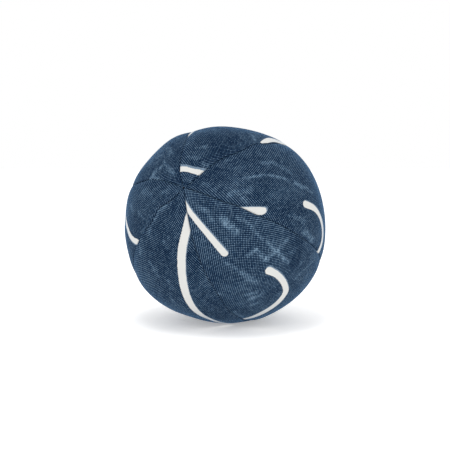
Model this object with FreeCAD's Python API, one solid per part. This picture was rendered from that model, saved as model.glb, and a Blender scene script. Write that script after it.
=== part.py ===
import FreeCAD, Part

import math
import os

# A sewn fabric juggling ball, in millimetres.
#
# Six cloth gores meet at two poles. Each gore is folded inward along both long edges, and the
# folded edges of neighbours lie face to face inside the ball as a pair of plies, held together by
# a lockstitch: a needle thread along one side and a bobbin thread along the other, which meet
# inside the needle holes. Gores 1 to 3 and 4 to 6 make two half balls. One long closing seam,
# round the whole ball through both poles, joins the halves except for a short opening, through
# which the ball is turned and filled, and which a hand ladder stitch closes. Loose millet fills
# the inside. The ball stands on a small flattened spot.
#
# Ball frame: origin at the centre of the flattened spot, +Z up, -Y to the front.
# Seam frame: origin at the ball's centre, +Z towards the front pole, +X towards the middle of the
# closing seam's first side. Everything is drawn in the seam frame and placed at the end.

# Ball
BALL_RADIUS = 35.0
RESTING_SAG = 1.3            # how far the filled ball settles onto its flattened spot
CLOTH_THICKNESS = 0.6
CAVITY_CLEARANCE = 0.1       # between the cloth and the filling

# Where the gores meet
POLE_ELEVATION = 24.4        # degrees above the horizontal
POLE_AZIMUTH = 24.4          # degrees from -Y towards -X
CLOSING_SEAM_DIP = 12.0      # degrees that the closing seam's first side leaves the pole downwards
SEAM_AZIMUTHS = (0.0, 65.0, 122.0, 180.0, 233.0, 300.0)   # degrees round the pole
CLOSING_SEAM_SIDES = (0, 3)  # the two seams, half a turn apart, that are one long seam

# Seams
STITCH_DEPTH = 2.3           # stitch line below the ball's surface
SEAM_ALLOWANCE = 5.0         # cloth beyond the stitch line
POLE_TRIM = 2.5              # the allowances are cut away this close to the pole's axis
STITCH_LENGTH = 3.0
SEAM_END_ANGLE = 6.5         # degrees from each pole to a short seam's first stitch
THREAD_END_ANGLE = 1.0       # degrees that a machine thread runs on past its last stitch
THREAD_RADIUS = 0.13
LINK_RADIUS = 0.10           # the thread, drawn tight through a needle hole
NEEDLE_HOLE_RADIUS = 0.13

# Hand-closed opening, in degrees round the closing seam from the front pole
OPENING_START = 75.0
OPENING_END = 120.0
OPENING_BACKTACK = 3.0       # how far the machine seam stops short of each end
HAND_THREAD_RADIUS = 0.17
HAND_STITCH_REACH = 0.8      # how far the hand thread runs from the seam, inside each fold
HAND_RUNG_COUNT = 11
KNOT_RADIUS = 0.55
TOUCH_CLEARANCE = 0.03

# Room that the filling leaves for each pair of plies and their threads
SLOT_HALF_WIDTH = 1.0
SLOT_CLEARANCE = 0.3

SEAM_ORIGIN = FreeCAD.Vector(0, 0, 0)
Y_AXIS = FreeCAD.Vector(0, 1, 0)
Z_AXIS = FreeCAD.Vector(0, 0, 1)

inner_radius = BALL_RADIUS - CLOTH_THICKNESS
middle_radius = BALL_RADIUS - CLOTH_THICKNESS / 2
stitch_radius = BALL_RADIUS - STITCH_DEPTH
raw_edge_radius = stitch_radius - SEAM_ALLOWANCE
centre_height = BALL_RADIUS - RESTING_SAG
thread_offset = CLOTH_THICKNESS + THREAD_RADIUS


def ball_placement():
    """The placement that takes the seam frame to the ball frame."""
    elevation = math.radians(POLE_ELEVATION)
    azimuth = math.radians(POLE_AZIMUTH)
    dip = math.radians(CLOSING_SEAM_DIP)
    pole = FreeCAD.Vector(
        -math.sin(azimuth) * math.cos(elevation),
        -math.cos(azimuth) * math.cos(elevation),
        math.sin(elevation),
    )
    level = Z_AXIS.cross(pole).normalize()
    rising = pole.cross(level)
    seam_start = level * math.cos(dip) - rising * math.sin(dip)
    rotation = FreeCAD.Rotation(seam_start, pole.cross(seam_start), pole, "ZXY")
    return FreeCAD.Placement(FreeCAD.Vector(0, 0, centre_height), rotation)


PLACEMENT = ball_placement()


def above_floor(shape, height):
    """The part of a seam-frame shape that lies higher than height above the floor."""
    reach = 4 * BALL_RADIUS
    block = Part.makeBox(reach, reach, reach, FreeCAD.Vector(-reach / 2, -reach / 2, height))
    block.Placement = PLACEMENT.inverse()
    return shape.common(block)


def turned(shape, azimuth):
    """A copy of shape, turned about the pole's axis by azimuth degrees."""
    copy = shape.copy()
    copy.rotate(SEAM_ORIGIN, Z_AXIS, azimuth)
    return copy


def on_seam(radius, polar_angle, offset=0.0):
    """A point on the seam at azimuth 0, offset sideways from the seam's plane."""
    angle = math.radians(polar_angle)
    return FreeCAD.Vector(radius * math.sin(angle), offset, radius * math.cos(angle))


def sphere_wedge(radius, width):
    """An orange segment from azimuth 0 to width degrees."""
    arc = Part.Arc(on_seam(radius, 0), on_seam(radius, 90), on_seam(radius, 180)).toShape()
    axis = Part.makeLine(on_seam(radius, 180), on_seam(radius, 0))
    return Part.Face(Part.Wire([arc, axis])).revolve(SEAM_ORIGIN, Z_AXIS, width)


def gore_shell(start, width):
    """The curved sheet of one gore, flattened where the ball stands."""
    outer = above_floor(turned(sphere_wedge(BALL_RADIUS, width), start), 0)
    inner = above_floor(turned(sphere_wedge(inner_radius, width), start), CLOTH_THICKNESS)
    return outer.cut(inner)


def seam_band(low_radius, high_radius, axis_distance, low_offset, high_offset):
    """A flat half ring in the plane of the seam at azimuth 0, given a thickness sideways."""
    low_angle = math.degrees(math.asin(axis_distance / low_radius))
    high_angle = math.degrees(math.asin(axis_distance / high_radius))
    corners = [
        on_seam(low_radius, low_angle),
        on_seam(high_radius, high_angle),
        on_seam(high_radius, 180 - high_angle),
        on_seam(low_radius, 180 - low_angle),
    ]
    edges = [
        Part.makeLine(corners[0], corners[1]),
        Part.Arc(corners[1], on_seam(high_radius, 90), corners[2]).toShape(),
        Part.makeLine(corners[2], corners[3]),
        Part.Arc(corners[3], on_seam(low_radius, 90), corners[0]).toShape(),
    ]
    band = Part.Face(Part.Wire(edges)).extrude(Y_AXIS * (high_offset - low_offset))
    band.translate(Y_AXIS * low_offset)
    return band


def seam_ply(azimuth, side):
    """A gore's folded-in edge on one side (+1 or -1) of a seam, down to its raw edge."""
    offsets = sorted((0.0, side * CLOTH_THICKNESS))
    ply = seam_band(raw_edge_radius, middle_radius, POLE_TRIM, offsets[0], offsets[1])
    return above_floor(turned(ply, azimuth), CLOTH_THICKNESS / 2)


def stitch_angles(start, end):
    """Polar angles of the needle holes, evenly spaced from start to end degrees."""
    step = math.degrees(STITCH_LENGTH / stitch_radius)
    count = int((end - start) / step)
    return [start + (end - start) * index / count for index in range(count + 1)]


def needle_links(angles, radius, side):
    """The short rods through one ply, from its outer face to the seam's plane."""
    rods = []
    for angle in angles:
        rods.append(
            Part.makeCylinder(radius, thread_offset, on_seam(stitch_radius, angle), Y_AXIS * side)
        )
    return rods


def clear_of_pole(angle):
    """Whether a stitch passes through the plies, which are cut away beside the poles."""
    return abs(stitch_radius * math.sin(math.radians(angle))) > POLE_TRIM + NEEDLE_HOLE_RADIUS


def lockstitch_thread(angles, side):
    """One thread of a machine seam: a line along the plies, with a link into each needle hole."""
    centre = FreeCAD.Vector(0, side * thread_offset, 0)
    first_angle = angles[0] - THREAD_END_ANGLE
    start = on_seam(stitch_radius, first_angle, side * thread_offset)
    tangent = on_seam(1, first_angle + 90)
    section = Part.Face(Part.Wire(Part.makeCircle(THREAD_RADIUS, start, tangent)))
    line = section.revolve(centre, Y_AXIS, angles[-1] - angles[0] + 2 * THREAD_END_ANGLE)
    return line.fuse(needle_links(filter(clear_of_pole, angles), LINK_RADIUS, side))


def rod_between(start, end, radius):
    """A round rod from one point to another."""
    return Part.makeCylinder(radius, start.distanceToPoint(end), start, end - start)


def hand_thread_pieces(spare):
    """The hand stitch over the opening, thicker all round by spare.

    It starts at a knot against the inner side of one fold, comes out into that fold, and then
    takes a short run inside one fold, a rung across the seam, and a run inside the other.
    """
    radius = HAND_THREAD_RADIUS + spare
    knot_offset = CLOTH_THICKNESS + KNOT_RADIUS + TOUCH_CLEARANCE
    knot_centre = on_seam(inner_radius - KNOT_RADIUS, -OPENING_START, knot_offset)
    step = (OPENING_END - OPENING_START) / HAND_RUNG_COUNT
    points = [knot_centre]
    for rung in range(HAND_RUNG_COUNT + 1):
        angle = -OPENING_START - rung * step
        reach = HAND_STITCH_REACH if rung % 2 == 0 else -HAND_STITCH_REACH
        points.append(on_seam(middle_radius, angle, reach))
        points.append(on_seam(middle_radius, angle, -reach))
    pieces = [Part.makeSphere(KNOT_RADIUS + spare, knot_centre)]
    for start, end in zip(points, points[1:]):
        pieces.append(rod_between(start, end, radius))
        pieces.append(Part.makeSphere(radius, end))
    return pieces


def hand_closing():
    """The hand thread, its runs and rungs joined into one piece."""
    pieces = hand_thread_pieces(0)
    return pieces[0].fuse(pieces[1:])


def short_seam_angles():
    """Needle holes of a seam that stops short of both poles."""
    return stitch_angles(SEAM_END_ANGLE, 180 - SEAM_END_ANGLE)


def closing_seam_angles():
    """Needle holes from one end of the opening, through both poles, to its other end."""
    return stitch_angles(OPENING_BACKTACK - OPENING_START, 360 - OPENING_END - OPENING_BACKTACK)


def seam_holes(seam):
    """The angles of the needle holes on one seam, measured from the front pole."""
    if seam not in CLOSING_SEAM_SIDES:
        return short_seam_angles()
    angles = filter(clear_of_pole, closing_seam_angles())
    if seam == CLOSING_SEAM_SIDES[0]:
        return [angle for angle in angles if 0 < angle < 180]
    return [angle if angle < 0 else angle - 360 for angle in angles if not 0 < angle < 180]


def needle_hole_tools(seam):
    """Cutters for every needle hole of a seam, through both plies, in the seam frame."""
    tools = []
    azimuth = SEAM_AZIMUTHS[seam]
    if seam == CLOSING_SEAM_SIDES[1]:
        azimuth -= 180
    for side in (1, -1):
        for rod in needle_links(seam_holes(seam), NEEDLE_HOLE_RADIUS, side):
            tools.append(turned(rod, azimuth))
    return tools


def cover_panel(index):
    """One gore with its two folded-in edges, pierced by the stitches."""
    following = (index + 1) % len(SEAM_AZIMUTHS)
    start = SEAM_AZIMUTHS[index]
    width = (SEAM_AZIMUTHS[following] - start) % 360
    panel = gore_shell(start, width)
    panel = panel.fuse([seam_ply(start, 1), seam_ply(start + width, -1)]).removeSplitter()
    panel = panel.cut(needle_hole_tools(index) + needle_hole_tools(following))
    if CLOSING_SEAM_SIDES[1] in (index, following):
        panel = panel.cut(hand_thread_pieces(TOUCH_CLEARANCE))
    return panel


def closing_thread_groove():
    """Room in the filling for the closing seam's threads, which also cross both poles."""
    width = 2 * SLOT_HALF_WIDTH
    start = Y_AXIS * -SLOT_HALF_WIDTH
    disc = Part.makeCylinder(BALL_RADIUS, width, start, Y_AXIS)
    core = Part.makeCylinder(stitch_radius - SLOT_CLEARANCE, width, start, Y_AXIS)
    return disc.cut(core)


def millet_filling():
    """The loose grain as one body: it fills the cover and closes round the plies."""
    sphere = Part.makeSphere(inner_radius - CAVITY_CLEARANCE)
    filling = above_floor(sphere, CLOTH_THICKNESS + CAVITY_CLEARANCE)
    slots = []
    for azimuth in SEAM_AZIMUTHS:
        slot = seam_band(
            raw_edge_radius - SLOT_CLEARANCE,
            BALL_RADIUS,
            POLE_TRIM - SLOT_CLEARANCE,
            -SLOT_HALF_WIDTH,
            SLOT_HALF_WIDTH,
        )
        slots.append(turned(slot, azimuth))
    return filling.cut(slots + [closing_thread_groove()] + hand_thread_pieces(CAVITY_CLEARANCE))


def build():
    """Every node of the ball, by name, in the seam frame."""
    nodes = {}
    for index in range(len(SEAM_AZIMUTHS)):
        nodes[f"cover_panel_{index + 1}"] = cover_panel(index)
    for seam, azimuth in enumerate(SEAM_AZIMUTHS):
        if seam in CLOSING_SEAM_SIDES:
            continue
        for name, side in (("needle", 1), ("bobbin", -1)):
            thread = lockstitch_thread(short_seam_angles(), side)
            nodes[f"{name}_thread_panels_{seam}_{seam + 1}"] = turned(thread, azimuth)
    for name, side in (("needle", 1), ("bobbin", -1)):
        nodes[f"{name}_thread_closing_seam"] = lockstitch_thread(closing_seam_angles(), side)
    nodes["hand_stitch_closing"] = hand_closing()
    nodes["millet_filling"] = millet_filling()
    return nodes


os.makedirs("parts", exist_ok=True)
for node_name, shape in build().items():
    print(node_name, len(shape.Solids), "solid", shape.isValid(), round(shape.Volume, 2), "mm3")
    shape.Placement = PLACEMENT.multiply(shape.Placement)
    shape.exportStep(f"parts/{node_name}.step")
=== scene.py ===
import math

import bpy
import numpy as np
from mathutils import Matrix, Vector, noise
from mathutils.bvhtree import BVHTree
from mathutils.kdtree import KDTree


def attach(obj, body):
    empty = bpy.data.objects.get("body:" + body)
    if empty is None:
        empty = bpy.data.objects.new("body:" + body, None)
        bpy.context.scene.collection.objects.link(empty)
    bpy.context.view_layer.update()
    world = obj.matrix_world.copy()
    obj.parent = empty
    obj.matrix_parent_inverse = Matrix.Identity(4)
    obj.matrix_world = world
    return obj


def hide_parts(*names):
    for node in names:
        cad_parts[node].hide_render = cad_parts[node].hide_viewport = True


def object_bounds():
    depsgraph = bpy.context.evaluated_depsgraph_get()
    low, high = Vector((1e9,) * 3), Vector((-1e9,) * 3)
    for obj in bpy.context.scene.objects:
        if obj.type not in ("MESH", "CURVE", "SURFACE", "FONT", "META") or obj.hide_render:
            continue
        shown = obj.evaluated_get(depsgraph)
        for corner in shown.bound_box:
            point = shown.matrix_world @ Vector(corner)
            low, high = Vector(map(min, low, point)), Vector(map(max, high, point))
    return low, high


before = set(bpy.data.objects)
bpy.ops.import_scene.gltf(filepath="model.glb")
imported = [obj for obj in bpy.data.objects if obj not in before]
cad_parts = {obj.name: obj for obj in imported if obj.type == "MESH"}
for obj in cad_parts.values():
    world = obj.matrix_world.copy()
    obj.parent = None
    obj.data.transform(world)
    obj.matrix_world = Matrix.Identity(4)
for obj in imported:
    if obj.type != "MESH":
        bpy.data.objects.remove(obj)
cad_low, cad_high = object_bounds()

# The sewn juggling ball's looks. Lengths are in millimetres and angles in degrees unless a name
# or comment says otherwise, and meshes are turned to metres as they are made. The seam frame is
# the one that part.py draws in: its pole is where the six gores meet at the front.
MM = 0.001

# The same as in the CAD
SEAM_AZIMUTHS = (0.0, 65.0, 122.0, 180.0, 233.0, 300.0)
GORES = len(SEAM_AZIMUTHS)
CLOSING_SEAMS = (0, 3)
POLE_ELEVATION = 24.4
POLE_AZIMUTH = 24.4
CLOSING_SEAM_DIP = 12.0
STITCH_DEPTH = 2.3
STITCH_LENGTH = 3.0
SEAM_ALLOWANCE = 5.0
SEAM_END = 6.5  # a short seam's first stitch, from each pole
THREAD_END = 1.0  # how far a machine thread runs on past its last stitch
LEAST_ANGLE = 0.3  # nearest that a thread's points come to a pole
OPENING = (75.0, 120.0)  # hand-closed part of the closing seam, from the front pole
OPENING_BACKTACK = 3.0
RUNG_COUNT = 11
HAND_THREAD_RADIUS = 0.17
SLOT_HALF_WIDTH = 1.0  # room in the filling beside each seam
SLOT_SPARE = 0.3  # and below its plies

# Cloth and its folds at the seams
CLOTH = 0.42  # thickness
FOLD_RADIUS = 0.5
CLOSING_FOLD_RADIUS = 0.6
SEAM_GAP = 0.02  # from a folded edge to the seam's own surface
OPENING_GAP = 0.16  # how much more the hand stitch lets each folded edge stand off
GAP_AT_RUNGS = 0.5  # share of that gap left where a rung draws it in
OPENING_FADE = (4.0, 2.0)  # the gap's start and full width, outside and inside each end
FURROW_DEPTH = 0.2
FURROW_WIDTH = 1.8
POLE_HOLE_ANGLE = 0.5
PLIES = (1.5, 4.5)  # from the poles' axis: where the plies begin, and are full depth
NARROW_FOLD = 0.22  # near a pole: most of a fold's radius, as a share of the gore's width
NARROW_FURROW = 0.12  # and of a furrow's depth
NARROW_CLOTH = 0.8  # and of the cloth's thickness, as a share of the fold's radius
MOST_SWAY = 0.25  # of a seam, as a share of the distance to the poles' axis

# Threads
THREAD_RADIUS = 0.14
THREAD_TWIST = 1.3  # length of one turn of a thread's two strands
STRAND_SIDES = 6
PATH_STEP = 0.16  # between a machine thread's points
HOLE_PULL = 0.8  # how far a needle hole draws the thread in, as a share
HOLE_WIDTH = 0.35  # how far from the hole that fades
RUNG_DEPTH = 0.3  # of the hand stitch's steps across the seam
KNOT_SIZE = 0.13
KNOT_OFFSET = CLOTH + 0.75  # the knot lies against the inner side of the first fold
KNOT_DEPTH = CLOTH + 0.65
KNOT_TURN = (0.3, 2 * math.pi - 0.6)  # radians: the knot's loop, which isn't quite closed
KNOT_POINTS = 14

# Filling
FILLING_GAP = 0.15  # between the cloth and the grain
GRAIN_SIZE = 1.9
GRAIN_RELIEF = 0.4
GRAIN_COUNT = 4600
GRAIN_SEED = 7
GRAIN_UNEVEN = 0.2  # how far a grain strays, in grains
GRAIN_GAP = 1.2  # where the dip between grains is cut off, in grains' half sizes
POLE_PIT = 3.2  # depth of the hollow where the closing seam's threads cross a pole
POLE_PIT_EDGE = (2.0, 3.4)  # from the poles' axis: where the hollow begins to end, and ends
NARROW_SLOT = 0.3  # near a pole: most of a slot's half width, as a share of the gore's
KNOT_ROOM = 1.1  # depth and half width of the hollow for the knot
KNOT_ROOM_WIDTH = 1.3

# Grids
ROWS = 221  # from pole to pole
PLY_COLUMNS = 6
ROLL_COLUMNS = 7
FACE_COLUMNS = 79

# Simulation of the filled bag, on a ball of radius 1
BAG_DETAIL = 6
PRESSURE = 4.0
FRAMES = 20
PULL = 0.018  # how much shorter the simulated seams are drawn
PULL_WIDTH = 3.0  # in millimetres of the real ball
PULL_SLACK = 0.5  # share of that pull which uneven grain adds elsewhere
LUMPS_PER_RADIUS = 2.6
PUFF_LIMIT = 0.015  # most that the simulation may move the cover, as a share

# Camera and studio, in metres where a comment says so
CAMERA_ELEVATION = 5.0
CAMERA_DISTANCE = 280.0
FOCAL_LENGTH = 63.45
SENSOR_WIDTH = 36.0
NEAREST_SEEN = 0.01  # metres
FLOOR_SIZE = 6.0  # metres
FLOOR_GLOW = 0.32  # keeps the floor as white as the surroundings
SOFTBOX_PLACE = (-0.08, -0.2, 0.9)  # metres
SOFTBOX_AIM = (0.0, 0.0, 0.03)  # metres
SOFTBOX_SIZE = 0.3  # metres
SOFTBOX_ENERGY = 1.9

# The cloth's weave, and how much each uneven part of it and the painted shade in its gaps change its
# tone, from 0 to 1
THREAD_PITCH = 0.385
BASE_TONE = 0.11
WEAVE_GAP_SHADE = 0.15  # of the threads' round tops: painted shade, darker in the gaps between the threads
OVER_UNDER_TONE = 0.85  # between crossings with a warp and with a weft thread on top
SLUB_TONE = 0.42
CROSSING_TONE = 0.5
PATCH_TONE = 0.6
FLECK_TONE = 0.38
SPECK_TONE = 0.14
FADED_TONE = 1.2
FADED_GROUND = 0.45  # how strong a faded mark stays between its dashes
DASH_LENGTH = 0.3  # a dash's width as a share of its length
SLUB_LENGTH = 0.15  # a slub's width as a share of its length
BUMP_DEPTH = 0.12
GORE_STEP = 37.0  # keeps the gores' noise apart
NO_INK = 9.0  # a distance from the print that none of its edges reaches
INK_EDGE = (0.1, -0.1)  # from a stroke's edge: where the ink begins, and covers fully
UNDERPRINT_EDGE = (0.15, -0.1)
UNDERPRINT_STRENGTH = 0.6
ROUGH_EDGE = 0.5  # how far the print's edges stray

# Colours, in screen values from 0 to 255
DYE_COLOURS = (  # by tone
    (0.0, (3, 20, 44)),
    (0.35, (29, 55, 83)),
    (0.65, (64, 93, 118)),
    (1.0, (123, 147, 168)),
)
INK_COLOUR = (213, 213, 210)
UNDERPRINT_COLOUR = (132, 154, 175)
SHEEN_COLOUR = (112, 158, 205)

ball_radius = (cad_high.x - cad_low.x) / 2 / MM
centre_height = cad_high.z / MM - ball_radius
CENTRE = np.array([0.0, 0.0, centre_height])


def unit(vector):
    return vector / np.linalg.norm(vector)


def facing(azimuth, elevation):
    """The unit vector at an azimuth from -Y towards +X and an elevation, in degrees."""
    azimuth, elevation = np.radians([azimuth, elevation])
    return np.array([
        math.sin(azimuth) * math.cos(elevation),
        -math.cos(azimuth) * math.cos(elevation),
        math.sin(elevation),
    ])


def seam_frame():
    """The seam frame's axes: the closing seam's first side, a quarter turn on, and the pole."""
    pole = facing(-POLE_AZIMUTH, POLE_ELEVATION)
    dip = math.radians(CLOSING_SEAM_DIP)
    level = unit(np.cross([0.0, 0.0, 1.0], pole))
    start = level * math.cos(dip) - np.cross(pole, level) * math.sin(dip)
    return start, np.cross(pole, start), pole


SEAM_X, SEAM_Y, POLE = seam_frame()


def directions(polar, azimuth):
    """Unit vectors in the CAD's frame from angles about the front pole, in radians."""
    sideways = np.cos(azimuth)[..., None] * SEAM_X + np.sin(azimuth)[..., None] * SEAM_Y
    return np.cos(polar)[..., None] * POLE + np.sin(polar)[..., None] * sideways


def curve_through(points, per_span=24):
    """A smooth curve through points of any number of values each, as evenly timed samples."""
    points = np.array(points, float)
    padded = np.vstack([2 * points[0] - points[1], points, 2 * points[-1] - points[-2]])
    t = np.linspace(0, 1, per_span, endpoint=False)[:, None]
    spans = []
    for a, b, c, d in zip(padded, padded[1:], padded[2:], padded[3:]):
        spans.append(
            b
            + 0.5 * t * (c - a)
            + t**2 * (a - 2.5 * b + 2 * c - 0.5 * d)
            + t**3 * (1.5 * (b - c) + 0.5 * (d - a))
        )
    return np.vstack(spans + [points[-1:]])


# How the sewn seams stray from their planes: (polar angle, millimetres anticlockwise)
SEAM_SWAY = (
    ((0, 0), (8, 0.05), (15, -0.15), (23, -0.35), (31, 0), (42, -0.25), (54, 0.2), (75, 0.35),
     (95, 0.4), (130, -0.4), (180, 0)),
    ((0, 0), (4, -0.5), (14, -0.5), (26, -0.6), (37, -1.4), (50, -0.3), (57, -1.1), (66, -0.4),
     (76, 0.4), (100, 0.5), (140, -0.5), (180, 0)),
    ((0, 0), (6, 0.5), (10, 0.85), (15, 0.7), (38, -0.4), (49, 0), (80, 0.5), (120, -0.5),
     (180, 0)),
    ((0, 0), (9, -0.7), (18, -1.1), (30, -0.85), (43, 0.05), (70, 0), (150, -0.4), (180, 0)),
    ((0, 0), (9, 0.5), (17, -0.5), (21, -0.2), (27, 0.8), (41, -0.2), (70, -0.4), (110, 0.5),
     (180, 0)),
    ((0, 0), (14, -0.35), (29, -0.65), (50, -0.45), (56, 0), (73, 0.05), (84, 0.35), (95, 0.9),
     (130, 0.2), (180, 0)),
)

# Where the filled ball bulges or is pressed in: (azimuth from -Y towards +X, elevation,
# millimetres, spread)
LUMPS = (
    (82, -29, 0.9, 22),
    (86, -19, 0.45, 10),
    (-84, -31, 1.1, 22),
    (-80, -66, -0.55, 11),
    (85, 38, 0.5, 17),
    (88, 52, 0.5, 9),
    (-84, 22, 0.6, 13),
    (-88, -14, -0.65, 9),
    (-88, 8, -0.4, 8),
    (-85, 60, 0.6, 11),
    (110, 80, -0.75, 19),
    (-38, -66, -0.7, 11),
    (88, -75, 1.1, 9),
)
FLOOR_ROUNDING = 0.8  # of the edge of the flattened resting spot
LEAST_DOWNWARD = 0.05  # stands in for directions that never reach the floor


def seam_distance(toward):
    """Distance from unit directions to the nearest seam's plane, in millimetres."""
    azimuth = np.degrees(np.arctan2(toward @ SEAM_Y, toward @ SEAM_X))
    away = [np.abs((azimuth - seam + 180) % 360 - 180) for seam in SEAM_AZIMUTHS]
    ring = np.linalg.norm(np.cross(toward, POLE), axis=-1)
    return ball_radius * ring * np.sin(np.radians(np.minimum(np.min(away, axis=0), 90)))


def filled_bag():
    """A cloth ball of radius 1, blown out by pressure against its drawn-in seams, for
    casting rays at."""
    bpy.ops.mesh.primitive_ico_sphere_add(subdivisions=BAG_DETAIL, radius=1.0)
    bag = bpy.context.object
    points = np.array([vertex.co for vertex in bag.data.vertices])
    pull = np.exp(-((seam_distance(points) / PULL_WIDTH) ** 2))
    slack = PULL_SLACK * np.array([noise.noise(Vector(point) * LUMPS_PER_RADIUS) for point in points])
    group = bag.vertex_groups.new(name="seams")
    for index, weight in enumerate(np.clip(pull + slack, 0, 1)):
        group.add([index], float(weight), "REPLACE")
    cloth = bag.modifiers.new("fill", "CLOTH").settings
    cloth.effector_weights.gravity = 0.0
    cloth.use_pressure = True
    cloth.uniform_pressure_force = PRESSURE
    cloth.vertex_group_shrink = group.name
    cloth.shrink_min = 0.0
    cloth.shrink_max = PULL
    scene = bpy.context.scene
    for step in range(1, FRAMES + 1):
        scene.frame_set(step)
    smooth = bag.modifiers.new("smooth", "SUBSURF")
    smooth.levels = 1
    shape = bag.evaluated_get(bpy.context.evaluated_depsgraph_get()).to_mesh()
    tree = BVHTree.FromPolygons(
        [vertex.co for vertex in shape.vertices], [tuple(face.vertices) for face in shape.polygons]
    )
    bpy.data.objects.remove(bag)
    scene.frame_set(1)
    return tree


BAG = filled_bag()


def even_directions(height):
    """Unit directions at the given heights, each a golden angle on from the one before."""
    turn = np.arange(len(height)) * math.pi * (3 - math.sqrt(5))
    ring = np.sqrt(1 - height**2)
    return np.stack([ring * np.cos(turn), ring * np.sin(turn), height], axis=-1)


def bag_reach(rays):
    """How far the simulated bag reaches in each direction."""
    origin = Vector((0, 0, 0))
    return np.array([BAG.ray_cast(origin, Vector(ray))[3] for ray in rays])


def bag_radius():
    """The simulated bag's usual radius, so that puff() is about 0 between the seams."""
    return float(np.median(bag_reach(even_directions(np.linspace(-0.99, 0.99, 400)))))


BAG_RADIUS = None if BAG is None else bag_radius()


def puff(toward):
    """How far the simulated filling blows the cover out, as a share of the radius."""
    if BAG is None:
        return np.zeros(toward.shape[:-1])
    reach = bag_reach(toward.reshape(-1, 3)).reshape(toward.shape[:-1])
    return np.clip(reach / BAG_RADIUS - 1, -PUFF_LIMIT, PUFF_LIMIT)


def cover_radius(toward):
    """The ball's radius in unit directions of the CAD's frame, flattened on the floor."""
    radius = ball_radius * (1 + puff(toward))
    for azimuth, elevation, height, spread in LUMPS:
        angle = np.degrees(np.arccos(np.clip(toward @ facing(azimuth, elevation), -1, 1)))
        radius += height * np.exp(-((angle / spread) ** 2))
    to_floor = centre_height / np.maximum(-toward[..., 2], LEAST_DOWNWARD)
    excess = radius - to_floor
    return radius - (excess + np.sqrt(excess**2 + FLOOR_ROUNDING**2)) / 2


def sway_angle(seam, polar):
    """How far a seam strays at each polar angle, as an angle round the pole."""
    curve = curve_through(SEAM_SWAY[seam])
    sway = np.interp(np.degrees(polar), curve[:, 0], curve[:, 1])
    across = ball_radius * np.sin(polar)
    return np.clip(sway, -MOST_SWAY * across, MOST_SWAY * across) / across


def fold_profile(roll, thickness, depth, inner):
    """(distance from the seam, depth below the surface, length unrolled from the fold's top) of
    a folded edge, one row of the gore to a row, from its raw edge to the top of the fold."""
    turn = np.linspace(0, math.pi / 2, ROLL_COLUMNS)[None, :]
    radius = (roll - thickness if inner else roll - SEAM_GAP)[:, None]
    roll_from_seam = roll[:, None] - radius * np.cos(turn)
    roll_depth = roll[:, None] - SEAM_GAP - radius * np.sin(turn)
    roll_length = roll[:, None] * (math.pi / 2 - turn)
    down = np.linspace(1, 0, PLY_COLUMNS, endpoint=False)[None, :]
    ply_depth = roll_depth[:, :1] + down * (depth[:, None] - roll_depth[:, :1])
    ply_from_seam = np.repeat(roll_from_seam[:, :1], PLY_COLUMNS, axis=1)
    ply_length = roll_length[:, :1] + ply_depth - roll_depth[:, :1]
    return (
        np.hstack([ply_from_seam, roll_from_seam]),
        np.hstack([ply_depth, roll_depth]),
        np.hstack([ply_length, roll_length]),
    )


def smooth_step(value, low, high):
    t = np.clip((value - low) / (high - low), 0, 1)
    return t * t * (3 - 2 * t)


def opening_gap(polar):
    """How far each folded edge stands off the closing seam's second side, row by row: most
    between the rungs of the hand stitch."""
    start, end = OPENING
    angle = np.degrees(polar)
    opened = smooth_step(angle, start - OPENING_FADE[0], start + OPENING_FADE[1])
    closed = smooth_step(angle, end - OPENING_FADE[1], end + OPENING_FADE[0])
    rungs = (angle - start) / (end - start) * RUNG_COUNT
    between_rungs = (1 - np.cos(2 * math.pi * rungs)) / 2
    share = GAP_AT_RUNGS + (1 - GAP_AT_RUNGS) * between_rungs
    return OPENING_GAP * opened * (1 - closed) * share


def gore_rows():
    """The polar angles of a grid's rows, in radians, and how far each is from the poles' axis."""
    polar = np.radians(np.linspace(POLE_HOLE_ANGLE, 180 - POLE_HOLE_ANGLE, ROWS))
    return polar, ball_radius * np.sin(polar)


def gore_turn(panel):
    """How far round the pole a gore reaches, in radians."""
    following = (panel + 1) % GORES
    return math.radians((SEAM_AZIMUTHS[following] - SEAM_AZIMUTHS[panel]) % 360)


def gore_edges(panel, polar):
    """The azimuths of a gore's two seams at each polar angle, in radians."""
    following = (panel + 1) % GORES
    start = math.radians(SEAM_AZIMUTHS[panel])
    end = start + gore_turn(panel)
    return start + sway_angle(panel, polar), end + sway_angle(following, polar)


def folded_edge(seam, width, polar, ring, inner):
    """One folded edge of a gore, as fold_profile gives it."""
    full_roll = CLOSING_FOLD_RADIUS if seam in CLOSING_SEAMS else FOLD_RADIUS
    roll = np.minimum(full_roll, NARROW_FOLD * ring * width)
    thickness = np.minimum(CLOTH, NARROW_CLOTH * roll)
    full_depth = STITCH_DEPTH + SEAM_ALLOWANCE
    depth = roll + (full_depth - roll) * smooth_step(ring, *PLIES)
    from_seam, down, unrolled = fold_profile(roll, thickness, depth, inner)
    if seam == CLOSING_SEAMS[1]:
        from_seam = from_seam + opening_gap(polar)[:, None]
    return roll[:, None], from_seam, down, unrolled


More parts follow.
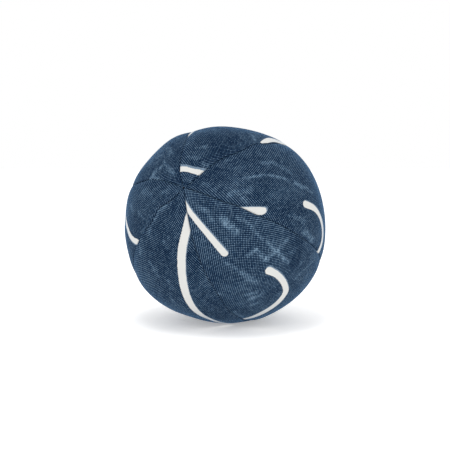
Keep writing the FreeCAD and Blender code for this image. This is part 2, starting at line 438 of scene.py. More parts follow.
def gore_surface(panel, inner):
    """One face of a gore's cloth: points, and its flat cloth coordinates along and across."""
    following = (panel + 1) % GORES
    polar, ring = gore_rows()
    width = gore_turn(panel)
    middle = math.radians(SEAM_AZIMUTHS[panel]) + width / 2
    left, right = gore_edges(panel, polar)

    sides = []
    for seam, azimuth, turn in ((panel, left[:, None], 1), (following, right[:, None], -1)):
        roll, from_seam, down, unrolled = folded_edge(seam, width, polar, ring, inner)
        top_across = ring[:, None] * (azimuth - middle) + turn * roll
        level = (ball_radius - down) * np.sin(polar)[:, None]
        sides.append((azimuth + turn * from_seam / level, down, top_across - turn * unrolled))
    (left_azimuth, left_down, left_across), (right_azimuth, right_down, right_across) = sides
    share = np.linspace(0, 1, FACE_COLUMNS + 2)[None, 1:-1]
    face_azimuth = left_azimuth[:, -1:] + share * (right_azimuth[:, -1:] - left_azimuth[:, -1:])
    face_down = left_down[:, -1:] + share * (right_down[:, -1:] - left_down[:, -1:])
    face_across = ring[:, None] * (face_azimuth - middle)

    azimuths = np.hstack([left_azimuth, face_azimuth, right_azimuth[:, ::-1]])
    down = np.hstack([left_down, face_down, right_down[:, ::-1]])
    across = np.hstack([left_across, face_across, right_across[:, ::-1]])
    along = np.repeat(ball_radius * polar[:, None], across.shape[1], axis=1)

    toward = directions(np.repeat(polar[:, None], azimuths.shape[1], axis=1), azimuths)
    to_left = (azimuths - left[:, None]) * ring[:, None]
    to_right = (right[:, None] - azimuths) * ring[:, None]
    nearest = np.clip(np.minimum(to_left, to_right), 0, None)
    furrow = np.minimum(FURROW_DEPTH, NARROW_FURROW * ring * width)[:, None]
    radius = cover_radius(toward) - down - furrow * np.exp(-nearest / FURROW_WIDTH)
    return CENTRE + radius[..., None] * toward, along, across


def closed_sheet(outer, inner):
    """Points and faces of a sheet from the grids of its two faces."""
    rows, columns = outer.shape[:2]
    index = np.arange(rows * columns).reshape(rows, columns)

    def quads(a, b, c, d):
        return np.stack([a, b, c, d], axis=-1).reshape(-1, 4)

    upper = quads(index[:-1, :-1], index[1:, :-1], index[1:, 1:], index[:-1, 1:])
    lower = upper[:, ::-1] + rows * columns
    border = np.concatenate([
        index[:-1, 0], index[-1, :-1], index[:0:-1, -1], index[0, :0:-1],
    ])
    after = np.roll(border, -1)
    rim = quads(after, border, border + rows * columns, after + rows * columns)
    points = np.vstack([outer.reshape(-1, 3), inner.reshape(-1, 3)])
    return points, np.vstack([upper, lower, rim])


def mesh_piece(name, points, faces, material):
    """A smooth-shaded mesh object from points in millimetres."""
    mesh = bpy.data.meshes.new(name)
    mesh.from_pydata((points * MM).tolist(), [], faces)
    mesh.polygons.foreach_set("use_smooth", [True] * len(mesh.polygons))
    mesh.update()
    piece = bpy.data.objects.new(name, mesh)
    bpy.context.scene.collection.objects.link(piece)
    mesh.materials.append(material)
    return piece


def add_values(piece, name, values, kind="FLOAT", field="value"):
    """Gives a piece's points the values that its material reads."""
    attribute = piece.data.attributes.new(name, kind, "POINT")
    attribute.data.foreach_set(field, np.asarray(values, np.float32).ravel())


# The print, in each gore's own cloth coordinates: (along from the front pole, across towards
# anticlockwise, half width) of each off-white brush stroke
INK_STROKES = (
    (
        ((14, -12.3, 1.5), (20, -12.3, 1.5), (26.8, -12.2, 1.3)),
        ((43, -7.6, 1.25), (48.2, -7.5, 1.1), (52.3, -8.4, 1.0), (56.2, -10.3, 1.0),
         (58.9, -12.9, 1.0), (60.1, -15.7, 1.05), (60.1, -20, 1.05), (61.5, -30, 1.0)),
        ((80, 5, 1.2), (86, 3, 1.35), (93, 4, 1.2)),
    ),
    (
        ((9.5, 8.8, 0.95), (7.7, 4.7, 0.9), (6.3, -0.2, 0.85), (7.0, -3.2, 0.8), (8.4, -6, 0.75)),
        ((24, 11.0, 0.25), (26.5, 11.7, 0.5), (29, 12.1, 0.75), (31.5, 12.7, 0.7), (34, 13.3, 0.35)),
        ((33.6, -14.4, 0.4), (36.9, -14.5, 1.05), (42, -14.4, 1.3), (50, -16, 1.2)),
        ((60, 3, 1.2), (67, -1, 1.35), (74, 0, 1.2)),
        ((90, 4, 1.2), (97, 3, 1.1)),
    ),
    (
        ((52, 8, 1.2), (60, 4, 1.35), (68, 4, 1.35), (75, 9, 1.1)),
        ((86, -5, 1.2), (94, -4, 1.1)),
    ),
    (
        ((37, -9, 0.3), (34.4, -4.5, 0.5), (32, -0.5, 0.75), (30.3, 4, 0.95), (29.5, 7.1, 1.1),
         (28.5, 9.3, 1.2), (27.4, 10.6, 1.3)),
        ((58, 6, 1.2), (66, 4, 1.35), (76, 7, 1.2)),
        ((90, -4, 1.2), (97, -2, 1.1)),
    ),
    (
        ((6, 5.7, 1.4), (14, 6.1, 1.45), (20, 6.0, 1.45), (26, 6.4, 1.4), (33, 7.0, 1.4),
         (40, 7.8, 1.35), (47, 9.3, 1.25), (52.7, 11.4, 1.1), (61, 15, 0.95)),
        ((78, -6, 1.2), (85, -8, 1.35), (92, -5, 1.2)),
    ),
    (
        ((3, -2.7, 0.55), (7, -3.5, 0.8), (12, -3.8, 0.9), (18, -3.95, 0.98), (25.2, -4.2, 1.1)),
        ((39.9, 2.1, 1.3), (43, 2.9, 1.1), (47, 2.95, 1.05), (51.4, 2.0, 1.05), (54.1, 0.5, 1.25),
         (56, -2.6, 1.4), (56.9, -6, 1.5), (57.4, -11, 1.5), (57.9, -15.5, 1.1), (58.2, -18.5, 0.6)),
        ((82, 6, 1.2), (88, 3, 1.35), (95, 2, 1.1)),
    ),
)

# Each gore's shade of dye, and its unprinted marks: (how much lighter or darker, half width,
# points along and across)
DYE = (-0.09, -0.13, -0.13, -0.11, -0.09, -0.04)
MARKS = (
    (
        (0.36, 0.5, (19.5, -1), (26, 0), (30.5, 0), (35.5, -0.5)),
        (0.36, 0.8, (38.5, -1), (42, -2)),
        (0.36, 0.8, (43.5, -1.5), (47.5, -2)),
        (0.3, 1.3, (16, -6), (18.5, -6), (21, -5)),
        (0.25, 0.8, (19.5, -7.5), (21, -9)),
        (0.26, 0.8, (27.5, 4.5), (30.5, 5.5), (33, 4.5), (37.5, 2.5)),
        (0.3, 0.9, (37, -12.5), (43, -13.5)),
        (0.4, 1.0, (45, -16.5), (51.5, -18)),
        (0.15, 0.6, (6, 0.5), (10.5, -4)),
        (-0.08, 2.2, (28, -10.5), (36.5, -11), (41, -14.5)),
        (-0.08, 3.5, (3, 0), (12, 3)),
        (-0.08, 5.0, (48, -1), (62, 2)),
    ),
    (
        (0.3, 0.6, (19, 7.5), (22, 6.5)),
        (0.28, 0.7, (12, 3.5), (11, -0.5)),
        (0.25, 0.7, (10, -3), (11, -6.5)),
        (0.3, 0.6, (34, -9.5), (32, -12.5)),
        (0.2, 0.8, (15.5, 2), (17, -0.5)),
        (-0.1, 2.5, (18.5, -3.5), (25, -8)),
        (-0.08, 2.5, (17.5, -9), (10.5, -2)),
    ),
    (
        (0.34, 0.8, (16.5, 7), (15.5, 3), (14.5, 1.5)),
        (0.32, 0.8, (15.5, -0.5), (7.5, -0.5)),
        (0.28, 0.8, (23, -4.5), (17, -4.5)),
        (0.28, 0.7, (22, 0.5), (20, -1.5)),
        (0.26, 0.8, (32, 5), (28.5, 2.5)),
        (0.3, 0.8, (15.5, 5.5), (10, 4.5)),
        (-0.1, 1.8, (32.5, -5), (17.5, -6)),
    ),
    (
        (0.26, 0.7, (20, 2), (18.5, 5)),
        (0.26, 0.7, (25.5, -2.5), (23.5, 0.5)),
        (0.26, 0.8, (17.5, -4.5), (13, -1)),
        (0.22, 0.7, (8.5, -0.5), (5.5, -0.5)),
        (0.24, 0.8, (20.5, 9), (24, 11)),
    ),
    (
        (0.28, 1.1, (7, -3), (9.5, -5.5), (12, -7), (15.5, -8)),
        (0.26, 0.8, (17.5, -8), (20, -8.5)),
        (0.24, 0.6, (18.5, -1), (20, 1)),
        (0.26, 0.6, (32, 1), (35, 2.5)),
        (0.28, 0.7, (40.5, 1), (43.5, 2)),
        (0.24, 0.8, (27, -12.5), (30, -11.5)),
        (0.24, 0.8, (28.5, -6.5), (31.5, -3)),
        (-0.1, 2.2, (15.5, -3), (21, 0)),
        (-0.1, 2.2, (22, 9), (29, 11.5)),
    ),
    (
        (0.3, 0.6, (20.5, 6.5), (23, 7.5), (27.5, 7.5), (30.5, 7.5)),
        (0.4, 0.8, (33, 8), (37.5, 8), (44, 8.5)),
        (0.3, 0.7, (39, 13.5), (37.3, 8.2), (36, 3.5)),
        (0.26, 0.7, (44.3, 14), (42.5, 10.8)),
        (0.34, 0.3, (58.5, 16), (53.9, 10.8), (52.3, 5.7)),
        (0.28, 0.4, (50.2, 11.4), (49.1, 8)),
        (0.3, 0.9, (9, -0.5), (11, 0.5)),
        (0.38, 1.2, (16.5, 2.5), (19.5, 3), (22, 3)),
        (0.26, 0.8, (13.5, 0), (15, 0)),
        (0.36, 0.7, (31, 3.5), (36.5, 4)),
        (0.36, 0.7, (31, 3.5), (30.5, 0.5)),
        (0.3, 1.0, (33.5, -4.5), (37, -4), (40, -3.5)),
        (0.32, 0.7, (42.5, -8.5), (43.5, -5.5)),
        (0.34, 0.7, (45, -9), (46, -5)),
        (0.3, 0.7, (48.5, -10), (49, -6.5)),
        (0.3, 0.7, (49, -16.5), (55, -16.5)),
        (0.26, 0.6, (37, -16), (38, -15.5)),
        (0.26, 0.7, (28, -6), (31.5, -5)),
        (-0.14, 1.6, (49, -1), (49, -6.5)),
        (-0.14, 2.4, (45.5, 14.5), (47.5, 10)),
    ),
)
MARK_EDGE = (0.3, 1.6)  # where a mark begins to fade and ends, in half widths from its edge
BACK_START = (74, 48, 42, 42, 70, 74)  # where each gore's side away from the front begins
BACK_END = 102
BACK_SPREAD = 0.4  # how far from a gore's middle its marks reach, per distance from axis
BACK_SEED = 20
BACK_MARKS = 16
BACK_LENGTHS = (2, 7)
BACK_STRENGTHS = (0.24, 0.36)
BACK_HALF_WIDTHS = (0.6, 1.0)


def back_marks(panel):
    """Short faded marks like the front's, placed by seeded chance on a gore's far side."""
    random = np.random.default_rng(BACK_SEED + panel)
    marks = []
    for turned in random.random(BACK_MARKS) < 0.5:
        along = random.uniform(BACK_START[panel], BACK_END)
        reach = ball_radius * math.sin(along / ball_radius) * BACK_SPREAD
        across = random.uniform(-reach, reach)
        length = random.uniform(*BACK_LENGTHS)
        end = (along, across + length) if turned else (along + length, across)
        strength = random.uniform(*BACK_STRENGTHS)
        half_width = random.uniform(*BACK_HALF_WIDTHS)
        marks.append((strength, half_width, (along, across), end))
    return marks


# How far the paler print beside the strokes is shifted along and across each gore
UNDERPRINT_SHIFT = (
    (0.35, 0.25),
    (0.75, 0.1),
    (0.35, 0.25),
    (0.35, 0.25),
    (0.35, 0.25),
    (-0.25, 0.35),
)


def stroke_distance(strokes, along, across):
    """Signed distance to the nearest stroke's edge, negative inside."""
    nearest = np.full(along.shape, NO_INK)
    for stroke in strokes:
        curve = curve_through(stroke, per_span=8)
        for a, b in zip(curve, curve[1:]):
            run = b[:2] - a[:2]
            reach = ((along - a[0]) * run[0] + (across - a[1]) * run[1]) / (run @ run)
            reach = np.clip(reach, 0, 1)
            away = np.hypot(along - a[0] - reach * run[0], across - a[1] - reach * run[1])
            nearest = np.minimum(nearest, away - a[2] - reach * (b[2] - a[2]))
    return nearest


def worn(marks, along, across):
    """How much lighter or darker a gore's marks make its dye."""
    change = np.zeros(along.shape)
    for strength, half_width, *points in marks:
        stroke = [(*point, 0) for point in points]
        away = stroke_distance([stroke], along, across)
        fade_start, fade_end = MARK_EDGE
        change += strength * (1 - smooth_step(away, fade_start * half_width, fade_end * half_width))
    return change


def cover_panel(panel, material):
    """One gore, with what its material reads: cloth coordinates, distances from the print's edge
    on the outer face, and the marks."""
    outer, along, across = gore_surface(panel, inner=False)
    inner = gore_surface(panel, inner=True)[0]
    points, faces = closed_sheet(outer, inner)
    piece = mesh_piece(f"gore_cloth_{panel + 1}", points, faces.tolist(), material)
    place = np.stack([along, across, np.full(along.shape, GORE_STEP * panel)], axis=-1)
    add_values(piece, "cloth", np.stack([place, place]), "FLOAT_VECTOR", "vector")
    plain_back = np.full(along.shape, NO_INK)
    ink = stroke_distance(INK_STROKES[panel], along, across)
    add_values(piece, "ink", np.stack([ink, plain_back]))
    shift_along, shift_across = UNDERPRINT_SHIFT[panel]
    under = stroke_distance(INK_STROKES[panel], along - shift_along, across - shift_across)
    add_values(piece, "underprint", np.stack([under, plain_back]))
    marks = MARKS[panel] + tuple(back_marks(panel))
    light = worn([mark for mark in marks if mark[0] > 0], along, across)
    dark = worn([mark for mark in marks if mark[0] < 0], along, across)
    add_values(piece, "worn", np.stack([light, light]))
    add_values(piece, "dye", np.stack([dark + DYE[panel]] * 2))
    return piece


def filling_surface():
    """Directions and depths of the filling's surface: rows from pole to pole and columns round
    the pole, with a slot for each seam's plies."""
    polar, ring = gore_rows()
    face_down = CLOTH + FILLING_GAP
    pit = POLE_PIT * (1 - smooth_step(ring, *POLE_PIT_EDGE))
    slot = STITCH_DEPTH + SEAM_ALLOWANCE + SLOT_SPARE
    floor = face_down + SLOT_SPARE + (slot - face_down) * smooth_step(ring, *PLIES)
    floor = np.maximum(floor, pit)
    wall = np.linspace(1, 0, PLY_COLUMNS, endpoint=False)[None, :]
    wall_down = np.maximum(face_down + wall * (floor - face_down)[:, None], pit[:, None])
    face_depth = np.repeat(np.maximum(face_down, pit)[:, None], FACE_COLUMNS, axis=1)
    share = np.linspace(0, 1, FACE_COLUMNS)[None, :]
    azimuths = []
    depths = []
    for panel in range(GORES):
        left, right = gore_edges(panel, polar)
        half_width = np.minimum(SLOT_HALF_WIDTH, NARROW_SLOT * ring * gore_turn(panel))[:, None]
        from_seam = half_width / ((ball_radius - wall_down) * np.sin(polar)[:, None])
        inset = half_width / ring[:, None]
        face = (left[:, None] + inset) * (1 - share) + (right[:, None] - inset) * share
        azimuths += [left[:, None] + from_seam, face, right[:, None] - from_seam[:, ::-1]]
        depths += [wall_down, face_depth, wall_down[:, ::-1]]
    azimuths = np.hstack(azimuths)
    toward = directions(np.repeat(polar[:, None], azimuths.shape[1], axis=1), azimuths)
    return toward, np.hstack(depths)


def grain_layer(toward):
    """Distance to the nearest grain's middle and that grain's number, in each direction, and
    every grain's shade."""
    random = np.random.default_rng(GRAIN_SEED)
    grains = even_directions(1 - (2 * np.arange(GRAIN_COUNT) + 1) / GRAIN_COUNT)
    grains += random.normal(0, GRAIN_UNEVEN * GRAIN_SIZE / ball_radius, grains.shape)
    tree = KDTree(GRAIN_COUNT)
    for index, grain in enumerate(grains):
        tree.insert(Vector(grain), index)
    tree.balance()
    found = [tree.find(Vector(ray))[1:] for ray in toward.reshape(-1, 3)]
    numbers, distances = np.array(found).T
    return distances.reshape(toward.shape[:-1]) * ball_radius, numbers, random.random(GRAIN_COUNT)


def closed_rings(rings, columns):
    """Faces of a closed surface of rings of points, one ring after another, capped at both ends."""
    index = np.arange(rings * columns).reshape(rings, columns)
    after = np.roll(index, -1, axis=1)
    sides = np.stack([index[:-1], index[1:], after[1:], after[:-1]], axis=-1).reshape(-1, 4)
    return sides.tolist() + [index[0].tolist(), index[-1, ::-1].tolist()]


def millet_filling(material):
    """The grain filling: one closed surface with a dip round every grain and room for the knot."""
    toward, down = filling_surface()
    away, numbers, shades = grain_layer(toward)
    dip = np.minimum(away / (GRAIN_SIZE / 2), GRAIN_GAP) ** 2 * GRAIN_RELIEF
    knot_away = ball_radius * np.linalg.norm(toward - knot_direction(), axis=-1)
    room = KNOT_ROOM * np.exp(-((knot_away / KNOT_ROOM_WIDTH) ** 4))
    furrow = FURROW_DEPTH * np.exp(-seam_distance(toward) / FURROW_WIDTH)
    radius = cover_radius(toward) - down - furrow - dip - room
    points = (CENTRE + radius[..., None] * toward).reshape(-1, 3)
    faces = closed_rings(*toward.shape[:2])
    piece = mesh_piece("millet_filling_grain", points, faces, material)
    add_values(piece, "grain", shades[numbers.astype(int)])
    # painted shade: how deep each point lies in the dip between grains, for the material to darken
    add_values(piece, "crevice", np.clip(dip / GRAIN_RELIEF, 0, 1))
    return piece


def seam_points(seam, polar, depth, offset):
    """Points along a seam, depth below the cover and offset to its anticlockwise side, and the
    directions they lie in."""
    azimuth = (math.radians(SEAM_AZIMUTHS[seam]) + sway_angle(seam, polar))[:, None]
    toward = directions(polar, azimuth[:, 0])
    sideways = np.cos(azimuth) * SEAM_Y - np.sin(azimuth) * SEAM_X
    radius = cover_radius(toward) - FURROW_DEPTH - depth
    return CENTRE + radius[:, None] * toward + offset[:, None] * sideways, toward


def closing_seam_points(angle, depth, offset):
    """Like seam_points, for angles in degrees that run on through both poles."""
    from_front = 180 - np.abs(180 - np.abs(angle))
    polar = np.radians(np.clip(from_front, LEAST_ANGLE, 180 - LEAST_ANGLE))
    first = seam_points(CLOSING_SEAMS[0], polar, depth, offset)
    second = seam_points(CLOSING_SEAMS[1], polar, depth, -offset)
    on_first = ((angle > 0) & (angle < 180))[:, None]
    return np.where(on_first, first[0], second[0]), np.where(on_first, first[1], second[1])


def path_frame(path, outward):
    """Unit vectors across a path, and its length so far."""
    along = np.gradient(path, axis=0)
    side = np.cross(along, outward)
    up = np.cross(side, along)
    steps = np.linalg.norm(np.diff(path, axis=0), axis=1)
    length = np.concatenate([[0], np.cumsum(steps)])
    side /= np.linalg.norm(side, axis=1)[:, None]
    up /= np.linalg.norm(up, axis=1)[:, None]
    return side, up, length


def strand(path, outward, radius):
    """Points and faces of one round strand along a path, and the length that each point is at."""
    side, up, length = path_frame(path, outward)
    turn = np.linspace(0, 2 * math.pi, STRAND_SIDES, endpoint=False)[None, :, None]
    rings = path[:, None] + radius * (np.cos(turn) * side[:, None] + np.sin(turn) * up[:, None])
    faces = closed_rings(len(rings), STRAND_SIDES)
    return rings.reshape(-1, 3), faces, np.repeat(length, STRAND_SIDES)


def twisted_thread(name, path, outward, radius, material):
    """A thread of two strands twisted round a path."""
    side, up, length = path_frame(path, outward)
    points = []
    faces = []
    lengths = []
    for phase in (0, math.pi):
        turn = (2 * math.pi * length / THREAD_TWIST + phase)[:, None]
        centre = path + radius / 2 * (np.cos(turn) * side + np.sin(turn) * up)
        own_points, own_faces, own_lengths = strand(centre, outward, radius / 2)
        start = len(points) * own_points.shape[0]
        faces += [[start + corner for corner in face] for face in own_faces]
        points.append(own_points)
        lengths.append(own_lengths)
    piece = mesh_piece(name, np.vstack(points), faces, material)
    add_values(piece, "thread_length", np.concatenate(lengths))
    return piece


def stitch_angles(start, end):
    """Where the needle goes through a seam, in degrees, evenly spaced from start to end."""
    step = math.degrees(STITCH_LENGTH / (ball_radius - STITCH_DEPTH))
    return np.linspace(start, end, int((end - start) / step) + 1)


def lockstitch(name, points_at, start, end, side, material):
    """A machine thread along one side of a seam's plies, drawn in to the needle holes."""
    length = math.radians(end - start) * (ball_radius - STITCH_DEPTH)
    angle = np.linspace(start - THREAD_END, end + THREAD_END, int(length / PATH_STEP))
    to_hole = np.min(np.abs(angle[:, None] - stitch_angles(start, end)[None, :]), axis=1)
    to_hole = np.radians(to_hole) * (ball_radius - STITCH_DEPTH)
    drawn_in = HOLE_PULL * np.exp(-((to_hole / HOLE_WIDTH) ** 2))
    offset = side * (CLOTH + THREAD_RADIUS) * (1 - drawn_in)
    path, outward = points_at(angle, np.full(angle.shape, STITCH_DEPTH), offset)
    return twisted_thread(name, path, outward, THREAD_RADIUS, material)


def short_seam_points(seam):
    """The points of one short seam, as a function of the same kind as closing_seam_points."""

    def points_at(angle, depth, offset):
        return seam_points(seam, np.radians(angle), depth, offset)

    return points_at


def machine_threads(material):
    """The needle and bobbin threads of every machine seam, by the name of their CAD node."""
    pieces = {}
    for name, side in (("needle", 1), ("bobbin", -1)):
        for seam in range(GORES):
            if seam in CLOSING_SEAMS:
                continue
            node = f"{name}_thread_panels_{seam}_{seam + 1}"
            points_at = short_seam_points(seam)
            pieces[node] = lockstitch(
                f"{name}_thread_{seam}_{seam + 1}", points_at, SEAM_END, 180 - SEAM_END, side, material
            )
        start = OPENING_BACKTACK - OPENING[0]
        end = 360 - OPENING[1] - OPENING_BACKTACK
        pieces[f"{name}_thread_closing_seam"] = lockstitch(
            f"{name}_thread_closing", closing_seam_points, start, end, side, material
        )
    return pieces


def knot_direction():
    """Where the hand stitch's knot lies, as seen from the ball's centre."""
    polar = np.radians([OPENING[0]])
    depth, offset = np.array([KNOT_DEPTH]), np.array([-KNOT_OFFSET])
    points, _ = seam_points(CLOSING_SEAMS[1], polar, depth, offset)
    return unit(points[0] - CENTRE)


def hand_stitch(material):
    """A ladder stitch: a knot, then runs inside each fold in turn, with rungs across the seam."""
    start, end = OPENING
    turn = np.linspace(*KNOT_TURN, KNOT_POINTS)
    trefoil = np.stack([
        (np.sin(turn) + 2 * np.sin(2 * turn)) / math.radians(ball_radius),
        np.cos(turn) - 2 * np.cos(2 * turn),
        -np.sin(3 * turn),
    ])
    knot = np.array([[-start], [KNOT_DEPTH], [KNOT_OFFSET]]) + KNOT_SIZE * trefoil
    corners = list(knot.T)
    reach = CLOSING_FOLD_RADIUS + OPENING_GAP
    for rung in range(RUNG_COUNT + 1):
        angle = -start - rung * (end - start) / RUNG_COUNT
        side = 1 if rung % 2 == 0 else -1
        corners += [
            (angle, CLOSING_FOLD_RADIUS, side * reach),
            (angle, RUNG_DEPTH, side * reach / 3),
            (angle, RUNG_DEPTH, -side * reach / 3),
            (angle, CLOSING_FOLD_RADIUS, -side * reach),
        ]
    angle, depth, offset = curve_through(corners, per_span=10).T
    path, outward = closing_seam_points(angle, depth, offset)
    return twisted_thread("hand_stitch_thread", path, outward, HAND_THREAD_RADIUS, material)


class Nodes:
    """A short way to write a material's nodes."""

    def __init__(self, name):
        self.material = bpy.data.materials.new(name)
        self.material.use_nodes = True
        self.tree = self.material.node_tree
        self.shader = self.tree.nodes["Principled BSDF"]

    def add(self, kind, inputs=(), output=0, **settings):
        """A new node with its inputs given in order, or by name; returns one of its outputs."""
        node = self.tree.nodes.new(kind)
        for key, value in settings.items():
            setattr(node, key, value)
        named = inputs.items() if isinstance(inputs, dict) else enumerate(inputs)
        for key, value in named:
            if isinstance(value, bpy.types.NodeSocket):
                self.tree.links.new(value, node.inputs[key])
            elif value is not None:
                node.inputs[key].default_value = value
        return node.outputs[output]

    def math(self, operation, *values):
        return self.add("ShaderNodeMath", values, operation=operation)

    def vary(self, tone, value, middle, gain):
        """A tone changed by how far a value is from its middle."""
        return self.math("MULTIPLY_ADD", self.math("SUBTRACT", value, middle), gain, tone)

    def mix(self, share, first, second):
        inputs = {0: share, 6: first, 7: second}
        return self.add("ShaderNodeMix", inputs, output=2, data_type="RGBA")

    def between(self, value, low, high):
        """0 below low, 1 above high, and smooth in between."""
        inputs = {0: value, 1: low, 2: high}
        return self.add("ShaderNodeMapRange", inputs, interpolation_type="SMOOTHSTEP")

    def noise(self, vector, scale, detail=2.0, roughness=0.5):
        inputs = {"Vector": vector, "Scale": scale, "Detail": detail, "Roughness": roughness}
        return self.add("ShaderNodeTexNoise", inputs)

    def attribute(self, name, output):
        return self.add("ShaderNodeAttribute", output=output, attribute_name=name)

    def vector(self, x, y, z=0.0):
        return self.add("ShaderNodeCombineXYZ", (x, y, z))

    def set(self, **values):
        """Sets or links the shader's own sockets, named with _ for a space."""
        for name, value in values.items():
            socket = self.shader.inputs[name.replace("_", " ")]
            if isinstance(value, bpy.types.NodeSocket):
                self.tree.links.new(value, socket)
            else:
                socket.default_value = value


def srgb(red, green, blue):
    """A colour in linear light from its 0 to 255 screen values."""
    values = np.array([red, green, blue]) / 255
    linear = np.where(values <= 0.04045, values / 12.92, ((values + 0.055) / 1.055) ** 2.4)
    return (*linear, 1.0)


def plain_weave(nodes, warp, weft):
    """Height of a plain weave from its thread coordinates, and which thread lies on top: 1 in
    the middle of a warp thread's crossing, and -1 in a weft thread's."""
    heights = []
    waves = [nodes.math("SINE", nodes.math("MULTIPLY", own, math.pi)) for own in (warp, weft)]
    for wave, other_wave, over in ((*waves, 0.5), (*waves[::-1], -0.5)):
        body = nodes.math("POWER", nodes.math("ABSOLUTE", wave), 0.6)
        side = nodes.math("MULTIPLY", nodes.math("SIGN", wave), over)
        lift = nodes.math("MULTIPLY_ADD", side, other_wave, 0.5)
        heights.append(nodes.math("MULTIPLY", body, lift))
    return nodes.math("MAXIMUM", *heights), nodes.math("MULTIPLY", *waves)


def colour_ramp(nodes, tone, stops):
    """The colour of a tone from 0 to 1, between (tone, colour) stops from dark to light."""
    node = nodes.tree.nodes.new("ShaderNodeValToRGB")
    ramp = node.color_ramp
    for element, (position, colour) in zip(ramp.elements, (stops[0], stops[-1])):
        element.position = position
        element.color = srgb(*colour)
    for position, colour in stops[1:-1]:
        ramp.elements.new(position).color = srgb(*colour)
    nodes.tree.links.new(tone, node.inputs[0])
    return node.outputs[0]


def uneven_tone(nodes, cloth, warp, weft, gore):
    """The dye's tone from 0 to 1, with the weave, painted shade in its gaps, its slubs and crossings,
    patches and flecks.
    """
    weave, on_top = plain_weave(nodes, warp, weft)
    # painted shade: the tone is darker where the weave is low, in the gaps between the threads
    tone = nodes.math("MULTIPLY_ADD", weave, WEAVE_GAP_SHADE, BASE_TONE)
    tone = nodes.math("MULTIPLY_ADD", on_top, OVER_UNDER_TONE, tone)

    warp_number, weft_number = nodes.math("FLOOR", warp), nodes.math("FLOOR", weft)
    along_warp = nodes.math("MULTIPLY", weft, SLUB_LENGTH)
    along_weft = nodes.math("MULTIPLY", warp, SLUB_LENGTH)
    warp_slub = nodes.noise(nodes.vector(warp_number, along_warp), scale=1.0)
    weft_slub = nodes.noise(nodes.vector(along_weft, weft_number, 7.0), scale=1.0)
    tone = nodes.vary(tone, nodes.math("ADD", warp_slub, weft_slub), 1.0, SLUB_TONE)

    place = nodes.vector(warp_number, weft_number, gore)
    crossing = nodes.add("ShaderNodeTexWhiteNoise", (place,))
    crossing = nodes.math("MULTIPLY", nodes.math("SUBTRACT", crossing, 0.5), weave)
    tone = nodes.math("MULTIPLY_ADD", crossing, CROSSING_TONE, tone)
    tone = nodes.vary(tone, nodes.noise(cloth, scale=0.09, detail=3.0, roughness=0.6), 0.5, PATCH_TONE)
    tone = nodes.vary(tone, nodes.noise(cloth, scale=0.9, detail=3.0, roughness=0.7), 0.5, FLECK_TONE)
    return nodes.math("ADD", nodes.attribute("dye", "Fac"), tone), weave


def fading(nodes, cloth, warp, weft):
    """How faded the dye is: the marks and scattered specks, broken up into woven dashes."""
    specks = nodes.between(nodes.noise(cloth, scale=0.5), 0.55, 0.7)
    faded = nodes.math("MULTIPLY_ADD", specks, SPECK_TONE, nodes.attribute("worn", "Fac"))
    along_warp = nodes.math("MULTIPLY", weft, DASH_LENGTH)
    along_weft = nodes.math("MULTIPLY", warp, DASH_LENGTH)
    warp_dashes = nodes.noise(nodes.vector(warp, along_warp), scale=0.7, detail=1.0)
    weft_dashes = nodes.noise(nodes.vector(along_weft, weft, 9.0), scale=0.7, detail=1.0)
    dashes = nodes.between(nodes.math("MAXIMUM", warp_dashes, weft_dashes), 0.5, 0.63)
    return nodes.math("MULTIPLY", faded, nodes.math("ADD", dashes, FADED_GROUND))


def printed(nodes, cloth, colour):
    """The cloth's colour with the print over it: a paler under-print and off-white strokes."""
    rough = nodes.math("SUBTRACT", nodes.noise(cloth, scale=2.2), 0.5)
    edge = nodes.math("MULTIPLY_ADD", rough, ROUGH_EDGE, nodes.attribute("ink", "Fac"))
    under_edge = nodes.attribute("underprint", "Fac")
    under_edge = nodes.math("MULTIPLY_ADD", rough, ROUGH_EDGE, under_edge)
    under = nodes.between(under_edge, *UNDERPRINT_EDGE)
    under = nodes.math("MULTIPLY", under, UNDERPRINT_STRENGTH)
    colour = nodes.mix(under, colour, srgb(*UNDERPRINT_COLOUR))
    return nodes.mix(nodes.between(edge, *INK_EDGE), colour, srgb(*INK_COLOUR))


def printed_cloth():
    """Navy-printed linen in plain weave, with painted shade between its threads, uneven threads, faded
    marks and the print.
    """
    nodes = Nodes("printed_cloth")
    cloth = nodes.attribute("cloth", "Vector")
    along, across, gore = nodes.add("ShaderNodeSeparateXYZ", (cloth,)).node.outputs
    warp = nodes.math("MULTIPLY", across, 1 / THREAD_PITCH)
    weft = nodes.math("MULTIPLY", along, 1 / THREAD_PITCH)
    tone, weave = uneven_tone(nodes, cloth, warp, weft, gore)
    faded = fading(nodes, cloth, warp, weft)
    tone = nodes.math("MULTIPLY_ADD", faded, FADED_TONE, tone)
    # the dye's colour, with the painted shade in the weave's gaps
    dye = colour_ramp(nodes, tone, DYE_COLOURS)
    bump = {"Height": weave, "Strength": 0.5, "Distance": BUMP_DEPTH * MM}
    normal = nodes.add("ShaderNodeBump", bump)
    colour = printed(nodes, cloth, dye)
    nodes.set(Base_Color=colour, Normal=normal, Roughness=0.95, Specular_IOR_Level=0.05)
    nodes.set(Sheen_Weight=0.9, Sheen_Roughness=0.2, Sheen_Tint=srgb(*SHEEN_COLOUR))
    return nodes.material


def plain_material(name, colour, roughness):
    nodes = Nodes(name)
    nodes.set(Base_Color=colour, Roughness=roughness)
    return nodes.material


def looking(direction):
    """The rotation of a lamp or camera that looks in a direction."""
    return direction.to_track_quat("-Z", "Y").to_euler()


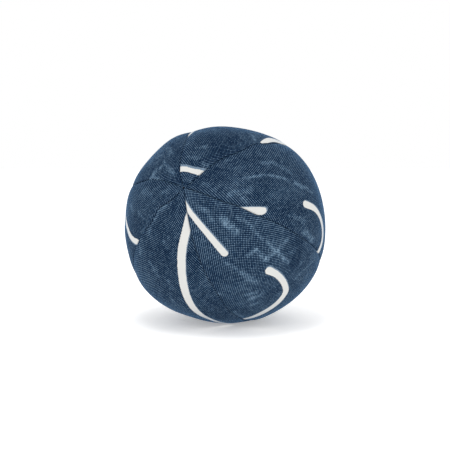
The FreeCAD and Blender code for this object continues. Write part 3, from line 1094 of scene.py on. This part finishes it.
def studio():
    """Floor, white surroundings and one large soft light."""
    bpy.ops.mesh.primitive_plane_add(size=FLOOR_SIZE)
    floor = bpy.context.object
    floor.name = "studio_floor"
    white = plain_material("studio_white", srgb(247, 247, 247), 0.9)
    shader = white.node_tree.nodes["Principled BSDF"]
    shader.inputs["Emission Color"].default_value = (1.0, 1.0, 1.0, 1.0)
    shader.inputs["Emission Strength"].default_value = FLOOR_GLOW
    floor.data.materials.append(white)

    world = bpy.data.worlds.new("studio_surroundings")
    bpy.context.scene.world = world
    world.use_nodes = True
    background = world.node_tree.nodes["Background"]
    background.inputs["Color"].default_value = (1.0, 1.0, 1.0, 1.0)
    background.inputs["Strength"].default_value = 1.0

    lamp = bpy.data.lights.new("softbox", "AREA")
    lamp.shape = "DISK"
    lamp.size = SOFTBOX_SIZE
    lamp.energy = SOFTBOX_ENERGY
    softbox = bpy.data.objects.new("softbox", lamp)
    softbox.location = SOFTBOX_PLACE
    softbox.rotation_euler = looking(Vector(SOFTBOX_AIM) - softbox.location)
    bpy.context.scene.collection.objects.link(softbox)
    bpy.context.scene.view_settings.view_transform = "Standard"


def camera():
    """Looks straight at the ball's centre from the front, a little above it."""
    data = bpy.data.cameras.new("camera")
    data.lens = FOCAL_LENGTH
    data.sensor_width = SENSOR_WIDTH
    data.clip_start = NEAREST_SEEN
    eye = bpy.data.objects.new("camera", data)
    back = Vector(facing(0.0, CAMERA_ELEVATION))
    eye.location = Vector(CENTRE * MM) + back * CAMERA_DISTANCE * MM
    eye.rotation_euler = looking(-back)
    bpy.context.scene.collection.objects.link(eye)
    bpy.context.scene.camera = eye


def sewing_thread(name, colour, highlight):
    """Spun thread: a little lighter and darker along its length, with loose fibres."""
    nodes = Nodes(name)
    length = nodes.attribute("thread_length", "Fac")
    place = nodes.add("ShaderNodeNewGeometry")
    uneven = nodes.noise(nodes.vector(nodes.math("MULTIPLY", length, 0.6), 0.0), scale=1.0)
    fibres = nodes.noise(place, scale=9.0 / MM, detail=3.0, roughness=0.6)
    share = nodes.math("MULTIPLY", nodes.math("ADD", uneven, fibres), 0.5)
    bump = nodes.add("ShaderNodeBump", {"Height": fibres, "Strength": 0.5, "Distance": 0.03 * MM})
    rough = nodes.math("MULTIPLY_ADD", fibres, 0.3, 0.45)
    nodes.set(Base_Color=nodes.mix(share, colour, highlight), Normal=bump, Roughness=rough)
    nodes.set(Sheen_Weight=0.2, Specular_IOR_Level=0.25)
    return nodes.material


def millet():
    """Hulled millet: each grain its own yellow, with painted shade between the grains, dusty and
    dimpled.
    """
    nodes = Nodes("millet")
    shade = nodes.attribute("grain", "Fac")
    crevice = nodes.attribute("crevice", "Fac")
    place = nodes.add("ShaderNodeNewGeometry")
    dust = nodes.noise(place, scale=1.5 / MM, detail=3.0, roughness=0.6)
    share = nodes.math("MULTIPLY_ADD", dust, 0.4, nodes.math("MULTIPLY", shade, 0.6))
    colour = nodes.mix(share, srgb(205, 168, 92), srgb(238, 214, 150))
    # painted shade: darker brown in the dips between the grains
    colour = nodes.mix(nodes.math("MULTIPLY", crevice, 0.6), colour, srgb(120, 88, 44))
    bump = nodes.add("ShaderNodeBump", {"Height": dust, "Strength": 0.4, "Distance": 0.05 * MM})
    rough = nodes.math("MULTIPLY_ADD", dust, 0.25, 0.4)
    nodes.set(Base_Color=colour, Normal=bump, Roughness=rough, Specular_IOR_Level=0.35)
    return nodes.material


def put(piece, node):
    """Declares a piece: puts it on the root body and hides the CAD node that it stands for."""
    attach(piece, "root")
    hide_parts(node)


def build():
    """Makes and declares every piece of the ball."""
    filling = millet_filling(millet())
    put(filling, "millet_filling")
    cloth = printed_cloth()
    for panel in range(GORES):
        piece = cover_panel(panel, cloth)
        put(piece, f"cover_panel_{panel + 1}")
    navy = sewing_thread("machine_thread", srgb(24, 36, 62), srgb(58, 76, 110))
    for node, piece in machine_threads(navy).items():
        put(piece, node)
    blue = sewing_thread("hand_thread", srgb(30, 46, 76), srgb(72, 94, 130))
    put(hand_stitch(blue), "hand_stitch_closing")


camera()
studio()
build()
